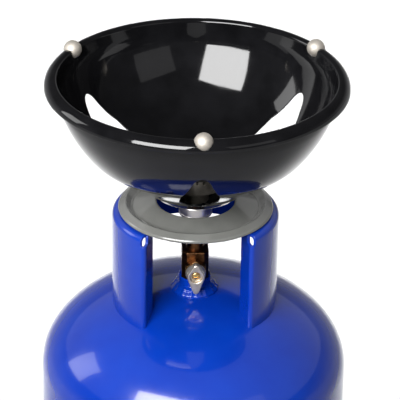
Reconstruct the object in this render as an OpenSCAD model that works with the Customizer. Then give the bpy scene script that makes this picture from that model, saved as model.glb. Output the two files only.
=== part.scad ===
// A single-burner gas cooker screwed onto its own 5 kg gas cylinder.
// The bowl is wind shield and pan support in one: the pan stands on three balls on its rolled rim.
// The origin is on the floor under the cylinder's centre, +Z is up and the tap points along -Y.

/* [Cylinder] */
// Outer radius of the cylinder
cyl_r = 125; // [110:1:140]
// Thickness of the cylinder's steel
cyl_t = 2.5; // [2:0.1:3]
// Height of each domed end
dome_h = 69.5; // [62:0.5:76]
// Height of the straight wall between the domes
wall_h = 158; // [130:1:260]
// Height of the girth weld above the floor
seam_z = 157; // [130:1:190]
// Width of the groove that the girth weld fills
weld_groove = 4; // [3:0.5:5]
// How far the lower half's joggled edge reaches up inside the upper half
joggle_lap = 11; // [8:1:16]
// Height of the weld's crown above the wall
weld_crown = 1.2; // [0.8:0.1:2]

/* [Foot ring] */
// Gap between the lower dome and the floor
foot_gap = 8.5; // [6:0.5:16]
// Outer radius of the foot ring
foot_r = 100; // [92:1:108]
// Thickness of the foot ring's steel
foot_t = 2.5; // [2:0.1:3]
// Outer radius of the curled lower edge
foot_curl_r = 5; // [4:0.5:6]
// Width of the flat that stands on the floor
foot_flat = 5; // [4:0.5:8]

/* [Neck] */
// Radius of the neck boss
boss_r = 13.3; // [13:0.1:15]
// Height of the boss above the dome's crown
boss_rise = 12.2; // [10:0.1:16]
// Length of the boss
boss_len = 18.7; // [17:0.1:24]
// Height of the boss's weld fillet
boss_weld_h = 5.5; // [4:0.5:7]
// Foot width of the boss's weld fillet
boss_weld_w = 5.7; // [4:0.1:7]
// Radius of the valve's taper shank at the top of the boss
shank_r = 9.8; // [9.5:0.1:10.2]
// Taper of the shank, as radius lost per length
shank_taper = 0.06; // [0.05:0.005:0.07]

/* [Valve] */
// Half width of the square valve body
valve_half = 10.85; // [10.5:0.05:11.5]
// Half width of the flat between two bevelled corners
valve_flat = 7; // [6:0.1:8]
// Height of the valve body
valve_h = 24.8; // [24:0.1:27]
// Height of the spindle's axis above the boss
spindle_up = 10.2; // [9.8:0.1:10.6]
// Radius of the chamber that the seat plug slides in
chamber_r = 4.55; // [4.4:0.05:4.7]
// Distance from the valve's centre back to the seat
seat_back = 4; // [3.5:0.1:4.5]
// Height of the seat's raised lip
seat_lip_h = 0.6; // [0.4:0.1:0.8]
// Outer radius of the seat's raised lip
seat_lip_r = 2.6; // [2.4:0.1:3]
// Radius of the hole through the seat
seat_hole_r = 1.6; // [1.2:0.1:1.8]
// Distance of the gas inlet bore behind the valve's centre
inlet_back = 6.4; // [6.3:0.1:6.5]
// Radius of the gas inlet bore
inlet_r = 1.3; // [1:0.1:1.4]
// Radius of the gas outlet bore
outlet_r = 0.9; // [0.7:0.1:1]
// Distance of the gas outlet bore behind the valve's centre
outlet_back = 2.3; // [2:0.1:2.4]

/* [Tap] */
// Depth of the gland nut's thread in the valve body
gland_depth = 4.2; // [4:0.1:4.4]
// Radius of the gland nut's thread
gland_thread_r = 5.8; // [5.5:0.1:6]
// Radius of the gland nut's hexagon, across its corners
gland_hex_r = 9.5; // [9:0.1:10]
// Length of the gland nut's hexagon
gland_hex_len = 5.9; // [5:0.1:6.5]
// Length of the soft packing inside the gland nut
packing_len = 2.6; // [2:0.1:3]
// Radius of the spindle
spindle_r = 3; // [2.9:0.1:3.2]
// Radius of the spindle's collar
spindle_collar_r = 4.2; // [4:0.1:4.3]
// Thickness of the spindle's collar
spindle_collar_t = 1.5; // [1.2:0.1:1.7]
// Width of the square blade that turns the seat plug
blade_w = 3; // [2.8:0.1:3.2]
// Length of the square blade
blade_len = 4.3; // [4:0.1:4.4]
// Width of the square that the knob sits on
knob_square = 4; // [3.8:0.1:4.1]
// Length of the seat plug
plug_len = 6; // [5.8:0.1:6.2]
// Depth of the square socket in the seat plug
plug_socket = 4.2; // [4:0.1:4.4]
// Radius of the soft seat pad
pad_r = 3.4; // [3.2:0.1:3.6]
// Thickness of the seat pad
pad_t = 1.6; // [1.4:0.1:1.8]
// Depth of the pad's recess in the seat plug
pad_recess = 1; // [0.8:0.1:1.2]
// Gap between the gland nut and the knob
knob_gap = 0.3; // [0.2:0.1:0.6]
// Radius of the knob's hub
knob_hub_r = 8.7; // [8.2:0.1:9.2]
// Length of the whole knob along the spindle
knob_len = 9; // [8.5:0.1:10]
// Thickness of the knob's lever
lever_t = 6; // [5:0.1:7]
// Width of the knob's lever
lever_w = 14.3; // [13:0.1:16]
// Length of the lever's short arm, up at rest
lever_up = 11.1; // [10:0.1:12]
// Length of the lever's long arm, down at rest
lever_down = 15.6; // [14:0.1:17]
// Radius of the lever's tips
lever_tip_r = 2.6; // [2:0.1:3]
// Radius of the round recess in the knob's face
knob_recess_r = 4.8; // [4:0.1:5]
// Depth of the round recess in the knob's face
knob_recess = 3; // [2:0.1:3.2]
// Radius of the knob screw's head
screw_head_r = 2.5; // [2.3:0.1:2.8]
// Height of the knob screw's head
screw_head_h = 1.6; // [1.2:0.1:2]
// Radius of the knob screw's thread
screw_r = 1.5; // [1.2:0.1:1.5]
// Length of the knob screw's thread
screw_len = 5; // [4:0.5:7]

/* [Collar] */
// Outer radius of the collar
collar_r = 67; // [64:0.5:72]
// Thickness of the collar's steel
collar_t = 2.5; // [2:0.1:2.7]
// Height of the collar's top above the dome's crown
collar_rise = 72.6; // [60:0.1:80]
// Radius of the collar's rounded shoulder
shoulder_r = 5; // [4:0.5:6]
// Width of the collar's shoulder and flange together
flange_w = 14; // [13:0.5:15]
// Angle from the collar's sides to its two front folds
collar_front = 48; // [44:0.5:50]
// Half angle of the carrying opening at the collar's back
carry_angle = 54.4; // [45:0.2:58]
// Height of the carrying opening's top above the dome's crown
carry_rise = 33.6; // [30:0.2:40]
// Radius of the carrying opening's upper corners
carry_corner_r = 10; // [6:0.5:14]
// Outer radius of the folds
fold_r = 2.8; // [2.8:0.1:4]
// Angle that the folds turn through
fold_turn = 114; // [105:0.5:118]
// Length of the flat part of each folded-in edge
fold_len = 17.4; // [14:0.1:18]
// Depth of the folded edges' tops below the collar's top
fold_drop = 1.6; // [1:0.1:2.4]
// Width of the relief slot in each fold
slot_w = 3; // [2:0.1:3.4]
// Depth of the relief slots below the collar's top
slot_depth = 8.2; // [6:0.1:10]
// Angle between the end of the arc's sheet and the start of the fold
fold_lead = 0.5; // [0.3:0.1:0.8]
// Angle over which the folded edges reach into the arc
fold_reach = 2; // [1.5:0.1:3]
// Depth by which the folded edges' faces lie under the arc's faces
fold_tuck = 0.05; // [0.03:0.01:0.1]

/* [Guard ring] */
// Distance of the ring's lip inside the collar's outer face
ring_inset = 4.8; // [4:0.1:6]
// Height of the lip's lower edge above the collar
ring_lip_up = 0.8; // [0.5:0.1:2]
// Radius of the lip's rounded outer edge
ring_lip_r = 2.6; // [2:0.1:3]
// Distance of the ring's crest outside the flange's inner edge
ring_crest_out = 3.2; // [2.6:0.1:4]
// Height of the crest above the lip's lower edge
ring_crest_h = 5.9; // [5:0.1:7]
// Distance of the groove inside the flange's inner edge
ring_groove_in = 2.3; // [2.1:0.1:2.6]
// Depth of the groove's floor below the crest
ring_groove_drop = 4.2; // [3.5:0.1:4.4]
// Depth of the thin line in the groove's floor
ring_line = 0.5; // [0.3:0.1:0.7]
// Radius of the hand hole
ring_hole_r = 31; // [29:0.1:34]
// Rise of the ring's face from the groove to the hand hole
ring_rise = 5.7; // [4:0.1:7]
// Thickness of the ring's face
ring_t = 2.4; // [2:0.1:3]
// Depth of the skirt round the hand hole
ring_hem = 4.6; // [4:0.1:8]
// Distance of the skirt that stands on the collar inside the collar's outer face
skirt_inset = 7; // [6:0.1:8]
// Thickness of the skirt
skirt_t = 3; // [2:0.1:3.5]
// Angle of the snap lugs on either side of the collar's two sides
lug_spread = 25; // [15:1:32]
// Width of each snap lug, as an angle
lug_angle = 12; // [8:1:16]
// Thickness of a snap lug
lug_t = 2; // [1.5:0.1:2.5]
// Reach of a snap lug's hook under the flange
lug_hook = 2; // [1:0.1:3]

/* [Burner stem] */
// Radius of the threaded stem
stem_r = 7.4; // [7:0.1:8]
// Depth of the stem's socket in the valve body
socket_depth = 8; // [7.5:0.1:8.2]
// Thickness of the seal under the stem
seal_t = 1.5; // [1:0.1:2]
// Bore of the seal
seal_bore_r = 4; // [3.5:0.1:4.5]
// Length of the stem
stem_len = 27; // [26:0.1:34]
// Depth of the thick lower end that carries the jet
stem_base = 4; // [3:0.5:5]
// Radius of the mixing chamber
stem_mix_r = 5; // [4.8:0.1:5.2]
// Radius of the air holes
air_hole_r = 2; // [1.5:0.1:2.2]
// Number of air holes
air_holes = 4; // [3:1:6]
// Height of the air holes above the valve body
air_hole_up = 4.6; // [3:0.1:6]
// Radius of the jet
jet_r = 3; // [2.8:0.1:3.2]
// Length of the jet's round body
jet_len = 5.2; // [5:0.1:6]
// Length of the jet's pointed tip
jet_tip = 2.6; // [2:0.1:3]
// Radius of the gas hole through the jet
jet_hole_r = 0.5; // [0.4:0.1:0.6]
// Outer radius of the mixing tube
tube_r = 6.4; // [6.2:0.1:6.6]
// Wall of the mixing tube
tube_t = 1.2; // [1:0.1:1.4]
// Depth of the mixing tube in the stem
tube_socket = 8; // [7:0.5:10]
// Height of the bowl's floor above the stem
bowl_up = 21.3; // [18:0.1:26]
// Radius of the lock nut
nut_r = 13.4; // [12:0.1:14]
// Height of the lock nut
nut_h = 10; // [8:0.5:12]
// Radius of the two washers
washer_r = 9.3; // [8.5:0.1:9.5]
// Thickness of the washer under the bowl
washer_low_t = 1; // [0.8:0.1:1.5]
// Thickness of the washer inside the bowl
washer_top_t = 1.2; // [0.8:0.1:1.5]

/* [Bowl] */
// Thickness of the bowl's sheet
bowl_t = 1; // [0.8:0.1:1.2]
// Radius of the bowl's flat floor
floor_r = 9.5; // [9:0.1:10]
// Length of the dished ring round the floor
dish_len = 24; // [22:0.5:26]
// Slope of the dished ring
dish_slope = 23.5; // [20:0.5:26]
// Length of the steep ring
steep_len = 15; // [13:0.5:17]
// Slope of the steep ring
steep_slope = 42; // [39:0.5:45]
// Length of the wide cone
cone_len = 33.9; // [31:0.1:37]
// Slope of the wide cone
cone_slope = 34; // [32:0.5:36]
// Radius of the bend from the cone into the side wall
side_bend_r = 48; // [42:1:54]
// Slope of the side wall's lower edge
side_slope = 51.5; // [48:0.5:54]
// Radius of the side wall's curve
side_curve_r = 118; // [108:1:128]
// Slope of the side wall near the rim
top_slope = 71.5; // [68:0.5:74]
// Height of the upright band under the rim
band_h = 7.8; // [5:0.1:11]
// Inner radius of the rolled rim
rim_r = 6.7; // [6:0.1:8]
// Radius of the bend from the band into the rim
rim_bend_r = 1.8; // [1.5:0.1:2.5]
// Widest half width of the bowl's three vents
vent_half = 15.1; // [12:0.1:17]
// Distance of the vents' lower edge from the axis
vent_low = 42.5; // [40:0.5:50]
// Distance at which the vents begin to narrow
vent_turn = 81; // [74:0.5:84]
// Distance at which the vents' straight sides would meet
vent_point = 109; // [104:0.5:112]
// Corner radius at the vents' wide end
vent_corner = 12; // [8:0.5:13]
// Radius of the bend in the vents' sides
vent_side_r = 10; // [6:0.5:14]

/* [Burner] */
// Height of the burner's hub
hub_h = 11.5; // [10:0.5:14]
// Radius of the burner's hub
hub_r = 10.5; // [9.5:0.1:11]
// Height of the burner body
burner_h = 27; // [25:0.5:29]
// Outer radius of the burner body's rim
burner_r = 23.5; // [21:0.1:24]
// Wall of the burner body
burner_t = 2.5; // [2:0.1:3.5]
// Number of flame slots
flame_slots = 28; // [16:2:36]
// Width of a flame slot
flame_w = 1.6; // [1:0.1:2]
// Depth of a flame slot
flame_h = 3; // [2:0.1:4]
// Radius of the burner cap
cap_r = 25; // [24.5:0.1:27]
// Thickness of the burner cap's edge
cap_t = 3; // [2:0.1:4]
// Height of the burner cap's crown above its edge
cap_crown = 1.5; // [1:0.1:2.5]
// Depth of the cap's locating spigot
cap_spigot = 5; // [4:0.5:7]

/* [Pan balls] */
// Radius of the pan balls
ball_r = 7.24; // [6.5:0.01:8]
// Depth of the balls' centres below the rim's ridge
ball_sink = 2; // [1:0.1:3]
// Distance of the balls' centres outside the rim's ridge
ball_out = 0.6; // [0:0.1:1.2]

/* [Fits] */
// Running clearance of turning and sliding pieces, on the radius
run_fit = 0.05; // [0.02:0.01:0.08]
// Gap between pieces that are welded or screwed together, on the radius
joint_gap = 0.05; // [0.02:0.01:0.1]
// Gap between a snap lug and what it holds
snap_gap = 0.15; // [0.1:0.05:0.3]
// Play of the square drives, on each side
drive_fit = 0.05; // [0.02:0.01:0.1]

/* [Hidden] */

// Heights, from the floor up
low_equator_z = foot_gap + dome_h;
top_equator_z = low_equator_z + wall_h;
crown_z = top_equator_z + dome_h;
boss_z = crown_z + boss_rise;
valve_top_z = boss_z + valve_h;
spindle_z = boss_z + spindle_up;
socket_z = valve_top_z - socket_depth;
stem_z = socket_z + seal_t;
stem_top_z = stem_z + stem_len;
air_hole_z = valve_top_z + air_hole_up;
tube_z = stem_top_z - tube_socket;
bowl_z = stem_top_z + bowl_up;
nut_top_z = bowl_z - washer_low_t;
washer_top_z = bowl_z + bowl_t;
burner_z = washer_top_z + washer_top_t;
collar_z = crown_z + collar_rise;
flange_in_r = collar_r - flange_w;
carry_z = crown_z + carry_rise;

// Half the width of the carrying opening
carry_half = collar_r * sin(carry_angle);

// Places along the tap's axis, measured towards the front
seat_y = -seat_back;
plug_front_y = seat_y + pad_t - pad_recess;
plug_end_y = plug_front_y + plug_len;
gland_end_y = valve_half - gland_depth;
collar_end_y = gland_end_y - run_fit;
collar_front_y = collar_end_y - spindle_collar_t;
blade_end_y = collar_front_y - blade_len;
nut_face_y = valve_half + gland_hex_len;
knob_y = nut_face_y + knob_gap;
knob_face_y = knob_y + knob_len;
recess_y = knob_face_y - knob_recess;

// The guard ring's heights
ring_r = collar_r - ring_inset;
skirt_r = collar_r - skirt_inset;
ring_crest_r = flange_in_r + ring_crest_out;
ring_groove_r = flange_in_r - ring_groove_in;
ring_lip_z = collar_z + ring_lip_up;
ring_crest_z = ring_lip_z + ring_crest_h;
ring_groove_z = ring_crest_z - ring_groove_drop;
ring_hole_z = ring_groove_z + ring_rise;
ring_hem_z = ring_hole_z - ring_hem;

// Steps of curves: degrees per step of a bend, steps of a dome, and circles' fineness
bend_step = 9;
dome_steps = 30;
$fn = 96;

// One point of a dome's outline: angle 0 is the equator, 90 the crown
function dome_point(r, h, a) = [r * cos(a), h * sin(a)];
// A dome's outline from its equator up to a hole of radius hole
function dome_line(r, h, hole) =
    [for (i = [0:dome_steps]) dome_point(r, h, acos(hole / r) * i / dome_steps)];
// Height of the dome above its equator at distance r from the axis
function dome_height(r) = dome_h * sqrt(1 - pow(r / cyl_r, 2));

// A bent sheet is walked as stretches: ["go", length] or ["bend", radius, new heading].
// A state is [x, y, heading in degrees].
function side_of(p, s) = s[2] > p.z ? 1 : -1;
function bend_state(p, s, h) = [
    p.x - side_of(p, s) * s[1] * (sin(p.z) - sin(h)),
    p.y + side_of(p, s) * s[1] * (cos(p.z) - cos(h)),
    h
];
function bend_steps(p, s) = max(1, ceil(abs(s[2] - p.z) / bend_step));
function next_state(p, s) = s[0] == "go"
    ? [p.x + s[1] * cos(p.z), p.y + s[1] * sin(p.z), p.z]
    : bend_state(p, s, s[2]);
function between(p, s) = s[0] == "go"
    ? []
    : [for (k = [1:1:bend_steps(p, s) - 1])
        bend_state(p, s, p.z + (s[2] - p.z) * k / bend_steps(p, s))];
function walk(p, route, i = 0) = i == len(route)
    ? [p]
    : concat([p], between(p, route[i]), walk(next_state(p, route[i]), route, i + 1));
function last_state(p, route, i = 0) = i == len(route)
    ? p
    : last_state(next_state(p, route[i]), route, i + 1);
// The walked line and its twin, t to the left of the walk
function sheet_outline(states, t) = concat(
    [for (p = states) [p.x, p.y]],
    [for (i = [len(states) - 1:-1:0])
        [states[i].x - t * sin(states[i].z), states[i].y + t * cos(states[i].z)]]
);

// The bowl's outer side: floor, dish, steep ring, cone, side wall, band and rim
bowl_start = [tube_r + joint_gap, bowl_z, 0];
bowl_route = [
    ["go", floor_r - bowl_start.x],
    ["bend", 6, dish_slope],
    ["go", dish_len],
    ["bend", 10, steep_slope],
    ["go", steep_len],
    ["bend", 20, cone_slope],
    ["go", cone_len],
    ["bend", side_bend_r, side_slope],
    ["bend", side_curve_r, top_slope],
    ["bend", 35, 90],
    ["go", band_h],
    ["bend", rim_bend_r, 0]
];
rim_route = [["bend", rim_r, -90]];
ridge = last_state(bowl_start, bowl_route);
ball_place_r = ridge.x + ball_out;
ball_z = ridge.y + bowl_t - ball_sink;

// A corner of a rounded outline: a is before it, b is the corner, c is after it
function rounded_corner(a, b, c, r) =
    let (
        u = (a - b) / norm(a - b),
        v = (c - b) / norm(c - b),
        half = acos(u * v) / 2,
        middle = b + (u + v) / norm(u + v) * r / sin(half),
        from = atan2((b + u * r / tan(half) - middle).y, (b + u * r / tan(half) - middle).x),
        turn = (180 - 2 * half) * sign(v.x * u.y - v.y * u.x),
        steps = ceil((180 - 2 * half) / bend_step)
    )
    [for (k = [0:steps]) middle + r * [cos(from + turn * k / steps), sin(from + turn * k / steps)]];
function rounded_outline(corners, radii) = [
    for (i = [0:len(corners) - 1])
        each rounded_corner(
            corners[(i + len(corners) - 1) % len(corners)], corners[i],
            corners[(i + 1) % len(corners)], radii[i])
];

// ---------------------------------------------------------------- shared shapes

// Places its children with +Z pointing along the tap's axis, towards the front
module on_tap_axis(y) {
    translate([0, -y, spindle_z]) rotate([90, 0, 0]) children();
}

module round_bar(r, y0, y1) {
    on_tap_axis(y0) cylinder(r = r, h = y1 - y0);
}

module square_bar(w, y0, y1) {
    on_tap_axis(y0) translate([-w / 2, -w / 2, 0]) cube([w, w, y1 - y0]);
}

module upright(r, z0, z1) {
    translate([0, 0, z0]) cylinder(r = r, h = z1 - z0);
}

// The solid inside the cylinder's outer surface, grown by gap, for cutting what is welded on it
module top_dome_solid(gap) {
    line = dome_line(cyl_r + gap, dome_h + gap, boss_r + joint_gap);
    translate([0, 0, top_equator_z])
        rotate_extrude()
            polygon(concat([[0, -wall_h / 2], [cyl_r + gap, -wall_h / 2]], line,
                [[0, line[dome_steps].y]]));
}

module low_dome_solid(gap) {
    translate([0, 0, low_equator_z])
        mirror([0, 0, 1])
            rotate_extrude()
                polygon(concat([[0, -wall_h / 2], [cyl_r + gap, -wall_h / 2]],
                    dome_line(cyl_r + gap, dome_h + gap, 0)));
}

// ---------------------------------------------------------------- cylinder

module foot_ring() {
    start = [foot_r - foot_curl_r - foot_flat, 0, 0];
    route = [["go", foot_flat], ["bend", foot_curl_r, 90], ["go", low_equator_z - foot_curl_r]];
    color("navy")
    difference() {
        rotate_extrude() polygon(sheet_outline(walk(start, route), foot_t));
        low_dome_solid(joint_gap);
    }
}

module lower_shell() {
    inner_r = cyl_r - cyl_t;
    lap_r = inner_r - joint_gap;
    outer = dome_line(cyl_r, dome_h, 0);
    inner = dome_line(inner_r, dome_h - cyl_t, 0);
    bottom = [for (p = outer) [p.x, low_equator_z - p.y]];
    inside = [for (p = inner) [p.x, low_equator_z - p.y]];
    color("royalblue")
    rotate_extrude()
        polygon(concat(
            [for (i = [len(bottom) - 1:-1:0]) bottom[i]],
            [[cyl_r, seam_z - weld_groove], [lap_r, seam_z], [lap_r, seam_z + joggle_lap],
                [lap_r - cyl_t, seam_z + joggle_lap], [lap_r - cyl_t, seam_z - 1],
                [inner_r, seam_z - weld_groove - 1]],
            inside));
}

module girth_weld() {
    foot = cyl_r + joint_gap;
    crown = cyl_r + weld_crown;
    color("royalblue")
    rotate_extrude()
        polygon([
            [foot, seam_z - weld_groove - 2.5],
            [crown - 0.3, seam_z - weld_groove - 1],
            [crown, seam_z - weld_groove / 2],
            [crown - 0.3, seam_z + 1],
            [foot, seam_z + 2.5],
            [foot, seam_z - joint_gap],
            [cyl_r - cyl_t + joint_gap, seam_z - joint_gap],
            [foot, seam_z - weld_groove]
        ]);
}

module upper_shell() {
    hole = boss_r + joint_gap;
    outer = dome_line(cyl_r, dome_h, hole);
    inner = dome_line(cyl_r - cyl_t, dome_h - cyl_t, hole);
    color("royalblue")
    rotate_extrude()
        polygon(concat(
            [[cyl_r - cyl_t, seam_z], [cyl_r, seam_z]],
            [for (p = outer) [p.x, top_equator_z + p.y]],
            [for (i = [len(inner) - 1:-1:0]) [inner[i].x, top_equator_z + inner[i].y]]));
}

module neck_boss() {
    shoulder_z = crown_z + boss_weld_h;
    color("mediumblue")
    difference() {
        union() {
            upright(boss_r, boss_z - boss_len, boss_z);
            difference() {
                rotate_extrude()
                    polygon([
                        [0, crown_z - 4],
                        [boss_r + boss_weld_w, crown_z - 4],
                        [boss_r + boss_weld_w, crown_z + 0.2],
                        [boss_r + boss_weld_w * 0.55, crown_z + boss_weld_h * 0.55],
                        [boss_r + boss_weld_w * 0.5, shoulder_z - 1.2],
                        [boss_r, shoulder_z],
                        [0, shoulder_z]
                    ]);
                top_dome_solid(joint_gap);
            }
        }
        translate([0, 0, boss_z - boss_len])
            cylinder(r1 = shank_r + joint_gap - shank_taper * boss_len,
                r2 = shank_r + joint_gap, h = boss_len);
    }
}

// ---------------------------------------------------------------- collar and guard ring

// A round-bottomed relief slot in a fold that begins half degrees round from +X.
// It also clears the part of the folded edge that reaches into the arc's shoulder.
module relief_slot(half) {
    floor_z = collar_z - slot_depth;
    reach = collar_r * sin(fold_reach) + 1;
    rotate([0, 0, half])
        translate([collar_r - 3 * collar_t, 0, 0])
            rotate([90, 0, 90])
                linear_extrude(5 * collar_t)
                    union() {
                        translate([slot_w / 2, floor_z + slot_w / 2])
                            circle(slot_w / 2);
                        translate([-reach, floor_z])
                            square([reach + slot_w / 2, slot_depth + 1]);
                        translate([0, floor_z + slot_w / 2])
                            square([slot_w, slot_depth]);
                    }
}

// A folded-in edge, half degrees round from +X.
// It begins inside the arc, with its faces tucked just under the arc's faces.
module folded_edge(half) {
    arc_r = collar_r - fold_tuck;
    from = half - fold_reach;
    start = [arc_r * cos(from), arc_r * sin(from), 90 + from];
    route = [
        ["bend", arc_r, 90 + half],
        ["bend", fold_r, 90 + half + fold_turn],
        ["go", fold_len]
    ];
    difference() {
        translate([0, 0, top_equator_z])
            linear_extrude(collar_z - fold_drop - top_equator_z)
                polygon(sheet_outline(walk(start, route), collar_t - 2 * fold_tuck));
        relief_slot(half);
    }
}

// The opening at the collar's back, under its upper band, with rounded upper corners
module carrying_opening() {
    translate([0, collar_r + 5, 0])
        rotate([90, 0, 0])
            linear_extrude(collar_r)
                hull() {
                    for (side = [-1, 1])
                        translate([side * (carry_half - carry_corner_r), carry_z - carry_corner_r])
                            circle(carry_corner_r);
                    translate([-carry_half, top_equator_z])
                        square([2 * carry_half, 10]);
                }
}

// One sheet bent round, open at the front between two folded-in edges
module collar() {
    arc_start = [collar_r, top_equator_z, 90];
    arc_route = [
        ["go", collar_z - shoulder_r - top_equator_z],
        ["bend", shoulder_r, 180],
        ["go", collar_r - shoulder_r - flange_in_r]
    ];
    color("mediumblue")
        difference() {
            union() {
                rotate([0, 0, fold_lead - collar_front])
                    rotate_extrude(angle = 180 + 2 * collar_front - 2 * fold_lead)
                        polygon(sheet_outline(walk(arc_start, arc_route), collar_t));
                mirror([0, 1, 0]) folded_edge(collar_front);
                mirror([1, 0, 0]) mirror([0, 1, 0]) folded_edge(collar_front);
            }
            top_dome_solid(joint_gap);
            carrying_opening();
        }
}

module guard_ring() {
    skirt_in_r = skirt_r - skirt_t;
    round_r = 0.8;
    flange_low_z = collar_z - collar_t;
    lug_out_r = flange_in_r - snap_gap;
    lug_in_r = lug_out_r - lug_t;
    lug_top_z = ring_groove_z - ring_t * 0.5;
    lip_arc = [for (k = [0:4]) [
        ring_r - ring_lip_r * (1 - cos(15 * k)),
        ring_lip_z + round_r + ring_lip_r * sin(15 * k)
    ]];
    color("darkgray") {
        rotate_extrude()
            polygon(concat(
                [[skirt_in_r, collar_z], [skirt_r, collar_z], [skirt_r, ring_lip_z], [ring_r, ring_lip_z]],
                lip_arc,
                [[ring_crest_r + round_r, ring_crest_z - 0.3], [ring_crest_r, ring_crest_z],
                    [ring_crest_r - round_r, ring_crest_z - 0.3],
                    [ring_groove_r + 1.5, ring_groove_z + 0.3],
                    [ring_groove_r + 0.5, ring_groove_z],
                    [ring_groove_r, ring_groove_z - ring_line],
                    [ring_groove_r - 0.5, ring_groove_z],
                    [ring_hole_r + 2 * round_r, ring_hole_z - 0.1],
                    [ring_hole_r + round_r * 0.5, ring_hole_z - round_r * 0.3],
                    [ring_hole_r, ring_hole_z - round_r],
                    [ring_hole_r, ring_hem_z],
                    [ring_hole_r + ring_t, ring_hem_z],
                    [ring_hole_r + ring_t, ring_hole_z - ring_t - round_r],
                    [ring_groove_r, ring_groove_z - ring_t],
                    [ring_groove_r + 2, ring_groove_z - ring_t],
                    [ring_crest_r - 0.5, ring_crest_z - ring_t - 0.4],
                    [skirt_in_r, ring_crest_z - ring_t - 0.4]]));
        for (middle = [0, 180], spread = [-lug_spread, lug_spread])
            rotate([0, 0, middle + spread - lug_angle / 2])
                rotate_extrude(angle = lug_angle)
                    polygon([
                        [lug_in_r, lug_top_z],
                        [lug_in_r, flange_low_z - snap_gap - lug_t],
                        [lug_out_r, flange_low_z - snap_gap - lug_t],
                        [lug_out_r + lug_hook, flange_low_z - snap_gap - lug_t / 2],
                        [lug_out_r + lug_hook, flange_low_z - snap_gap],
                        [lug_out_r, flange_low_z - snap_gap],
                        [lug_out_r, lug_top_z]
                    ]);
    }
}

// ---------------------------------------------------------------- valve and tap

module valve_body() {
    bevel = [
        [valve_flat, -valve_half], [valve_half, -valve_flat],
        [valve_half, valve_flat], [valve_flat, valve_half],
        [-valve_flat, valve_half], [-valve_half, valve_flat],
        [-valve_half, -valve_flat], [-valve_flat, -valve_half]
    ];
    color("saddlebrown")
    difference() {
        union() {
            translate([0, 0, boss_z]) linear_extrude(valve_h) polygon(bevel);
            translate([0, 0, boss_z - boss_len])
                cylinder(r1 = shank_r - shank_taper * boss_len, r2 = shank_r, h = boss_len);
        }
        translate([0, inlet_back, 0]) upright(inlet_r, boss_z - boss_len - 1, spindle_z);
        difference() {
            round_bar(chamber_r, seat_y - seat_lip_h, valve_half + 1);
            round_bar(seat_lip_r, seat_y - seat_lip_h, seat_y);
        }
        round_bar(seat_hole_r, -inlet_back, seat_y + 1);
        round_bar(gland_thread_r + joint_gap, gland_end_y, valve_half + 1);
        upright(stem_r + run_fit, socket_z, valve_top_z + 1);
        translate([0, outlet_back, 0]) upright(outlet_r, spindle_z, socket_z + 1);
    }
}

module outlet_seal() {
    color("dimgray")
    difference() {
        upright(stem_r - 0.2, socket_z, socket_z + seal_t);
        upright(seal_bore_r, socket_z - 1, socket_z + seal_t + 1);
    }
}

module gland_nut() {
    color("goldenrod")
    difference() {
        union() {
            round_bar(gland_thread_r, gland_end_y, valve_half);
            on_tap_axis(valve_half) rotate([0, 0, 30]) cylinder(r = gland_hex_r, h = gland_hex_len, $fn = 6);
        }
        round_bar(spindle_r + run_fit, gland_end_y - 1, nut_face_y + 1);
        round_bar(spindle_collar_r + joint_gap, gland_end_y - 1, gland_end_y + packing_len);
    }
}

module gland_packing() {
    color("black")
    difference() {
        round_bar(spindle_collar_r, gland_end_y, gland_end_y + packing_len);
        round_bar(spindle_r + run_fit, gland_end_y - 1, gland_end_y + packing_len + 1);
    }
}

module spindle() {
    color("goldenrod")
    difference() {
        union() {
            square_bar(blade_w, blade_end_y, collar_front_y);
            round_bar(spindle_collar_r, collar_front_y, collar_end_y);
            round_bar(spindle_r, collar_end_y, knob_y + 1);
            square_bar(knob_square, knob_y, recess_y - 0.4);
        }
        round_bar(screw_r + joint_gap, recess_y - screw_len - 0.5, recess_y + 1);
    }
}

module seat_plug() {
    color("goldenrod")
    difference() {
        round_bar(chamber_r - run_fit, plug_front_y, plug_end_y);
        round_bar(pad_r + joint_gap, plug_front_y - 1, plug_front_y + pad_recess);
        square_bar(blade_w + 2 * drive_fit, plug_end_y - plug_socket, plug_end_y + 1);
    }
}

module seat_pad() {
    color("black") round_bar(pad_r, seat_y, seat_y + pad_t);
}

module knob() {
    lever_y = knob_face_y - lever_t;
    color("silver")
    difference() {
        union() {
            round_bar(knob_hub_r, knob_y, lever_y + 1);
            on_tap_axis(lever_y)
                linear_extrude(lever_t)
                    hull() {
                        circle(r = lever_w / 2);
                        translate([0, lever_up - lever_tip_r]) circle(r = lever_tip_r);
                        translate([0, lever_tip_r - lever_down]) circle(r = lever_tip_r);
                    }
        }
        round_bar(knob_recess_r, recess_y, knob_face_y + 1);
        square_bar(knob_square + 2 * drive_fit, knob_y + 0.9, recess_y + 1);
        round_bar(spindle_r + joint_gap, knob_y - 1, knob_y + 1);
    }
}

module knob_screw() {
    slot_w = 0.8;
    slot_depth = 0.7;
    color("gold")
    difference() {
        union() {
            round_bar(screw_r, recess_y - screw_len, recess_y);
            round_bar(screw_head_r, recess_y, recess_y + screw_head_h);
        }
        on_tap_axis(recess_y + screw_head_h - slot_depth)
            translate([-screw_head_r - 1, -slot_w / 2, 0])
                cube([2 * screw_head_r + 2, slot_w, slot_depth + 1]);
    }
}

// ---------------------------------------------------------------- burner stem

module jet() {
    color("gold")
    difference() {
        union() {
            upright(jet_r, stem_z + 0.5, stem_z + 0.5 + jet_len);
            translate([0, 0, stem_z + 0.5 + jet_len]) cylinder(r1 = jet_r * 0.8, r2 = 1.2, h = jet_tip);
        }
        upright(jet_hole_r, stem_z, stem_z + jet_len + jet_tip + 1);
    }
}

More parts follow.
